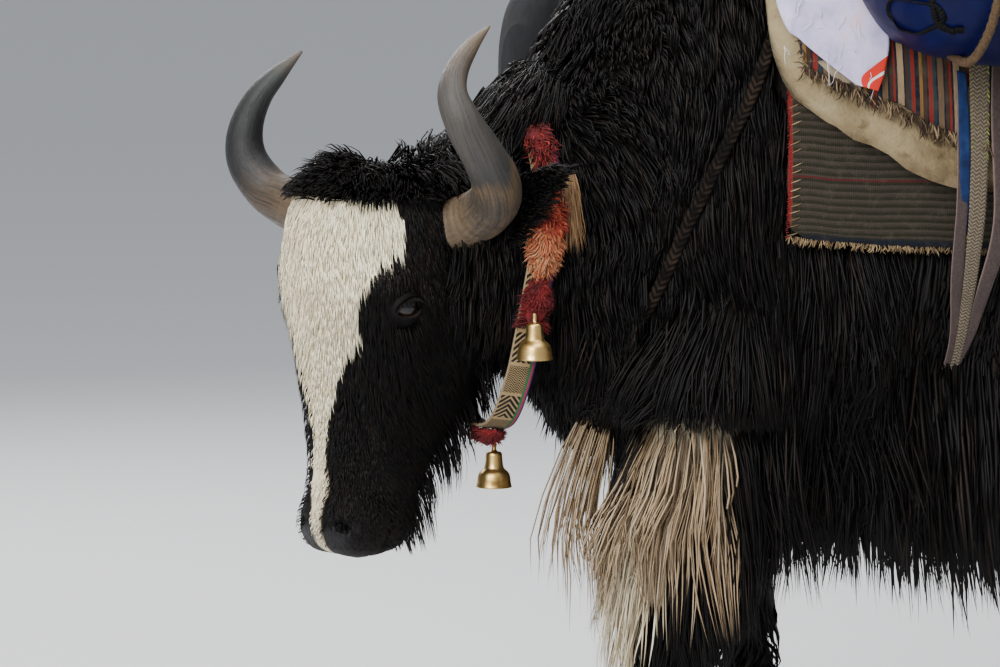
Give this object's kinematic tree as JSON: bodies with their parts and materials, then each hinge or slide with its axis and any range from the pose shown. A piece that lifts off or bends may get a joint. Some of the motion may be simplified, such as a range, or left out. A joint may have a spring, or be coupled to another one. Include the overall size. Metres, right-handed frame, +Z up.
{
  "type": "yak",
  "caption": "Life-size standing pack yak with lowered head, long coat, curved horns, bell collar, saddle cloths, straps and load bags.",
  "frame": {"origin": "middle of the model's bounding box, on the floor under the hooves", "axes": "+X the way the yak's body faces, +Y its left side, +Z up"},
  "size_m": [2.0528, 1.232, 1.3721],
  "materials": {
    "coat_black": "long, coarse, matt hair, with cream patches",
    "horn": "weathered horn, satin, with fine lengthwise streaks",
    "hoof": "dull dark hoof horn",
    "eye": "wet and glossy, dark brown",
    "blanket_cloth": "coarse dark woven wool with a frayed border",
    "pad_canvas": "thick cream felt and canvas",
    "rug_stripes": "striped woven wool with a fringe",
    "strap_webbing": "tan woven webbing",
    "strap_grey": "worn grey-brown woven strap",
    "strap_blue": "worn blue cloth strip",
    "braid": "flat greenish tan braid",
    "scrap_cotton": "thin pale cotton with a red corner",
    "bag_blue": "coated blue fabric, half glossy",
    "bag_black": "coated black fabric, half glossy",
    "rope_brown": "twisted brown rope",
    "collar_weave": "woven band in cream and black chevrons",
    "bell_brass": "worn brass, darker in the hollow",
    "clapper_iron": "dull worn iron",
    "wool_red": "loose dark red wool",
    "wool_orange": "loose orange red wool",
    "tassel_cream": "combed cream hair"
  },
  "bodies": {
    "root": {"saddle_blanket": "blanket_cloth", "saddle_pad": "pad_canvas", "saddle_rug": "rug_stripes", "girth_webbing": "strap_webbing", "girth_strap_grey": "strap_grey", "girth_strap_blue": "strap_blue", "breast_strap": "braid", "cloth_scrap": "scrap_cotton", "load_bag_left": "bag_blue", "load_bag_right": "bag_black", "lashing_rope_front": "rope_brown", "lashing_rope_rear": "rope_brown", "collar_band": "collar_weave", "bell_left": "bell_brass", "clapper_left": "clapper_iron", "bell_throat": "bell_brass", "clapper_throat": "clapper_iron", "bell_right": "bell_brass", "clapper_right": "clapper_iron", "wool_crest": "wool_red", "wool_left": "wool_orange", "wool_right": "wool_orange", "pom_left": "wool_red", "pom_right": "wool_red", "pom_throat": "wool_red", "tassel_left": "tassel_cream", "tassel_right": "tassel_cream", "head": "coat_black", "eye_left": "eye", "eye_right": "eye", "horn_left": "horn", "horn_right": "horn", "ear_left": "coat_black", "ear_right": "coat_black", "torso": "coat_black", "neck": "coat_black", "leg_front_left": "coat_black", "hoof_front_left": "hoof", "leg_front_right": "coat_black", "hoof_front_right": "hoof", "leg_hind_left": "coat_black", "hoof_hind_left": "hoof", "leg_hind_right": "coat_black", "hoof_hind_right": "hoof", "tail": "coat_black"}
  },
  "joints": []
}
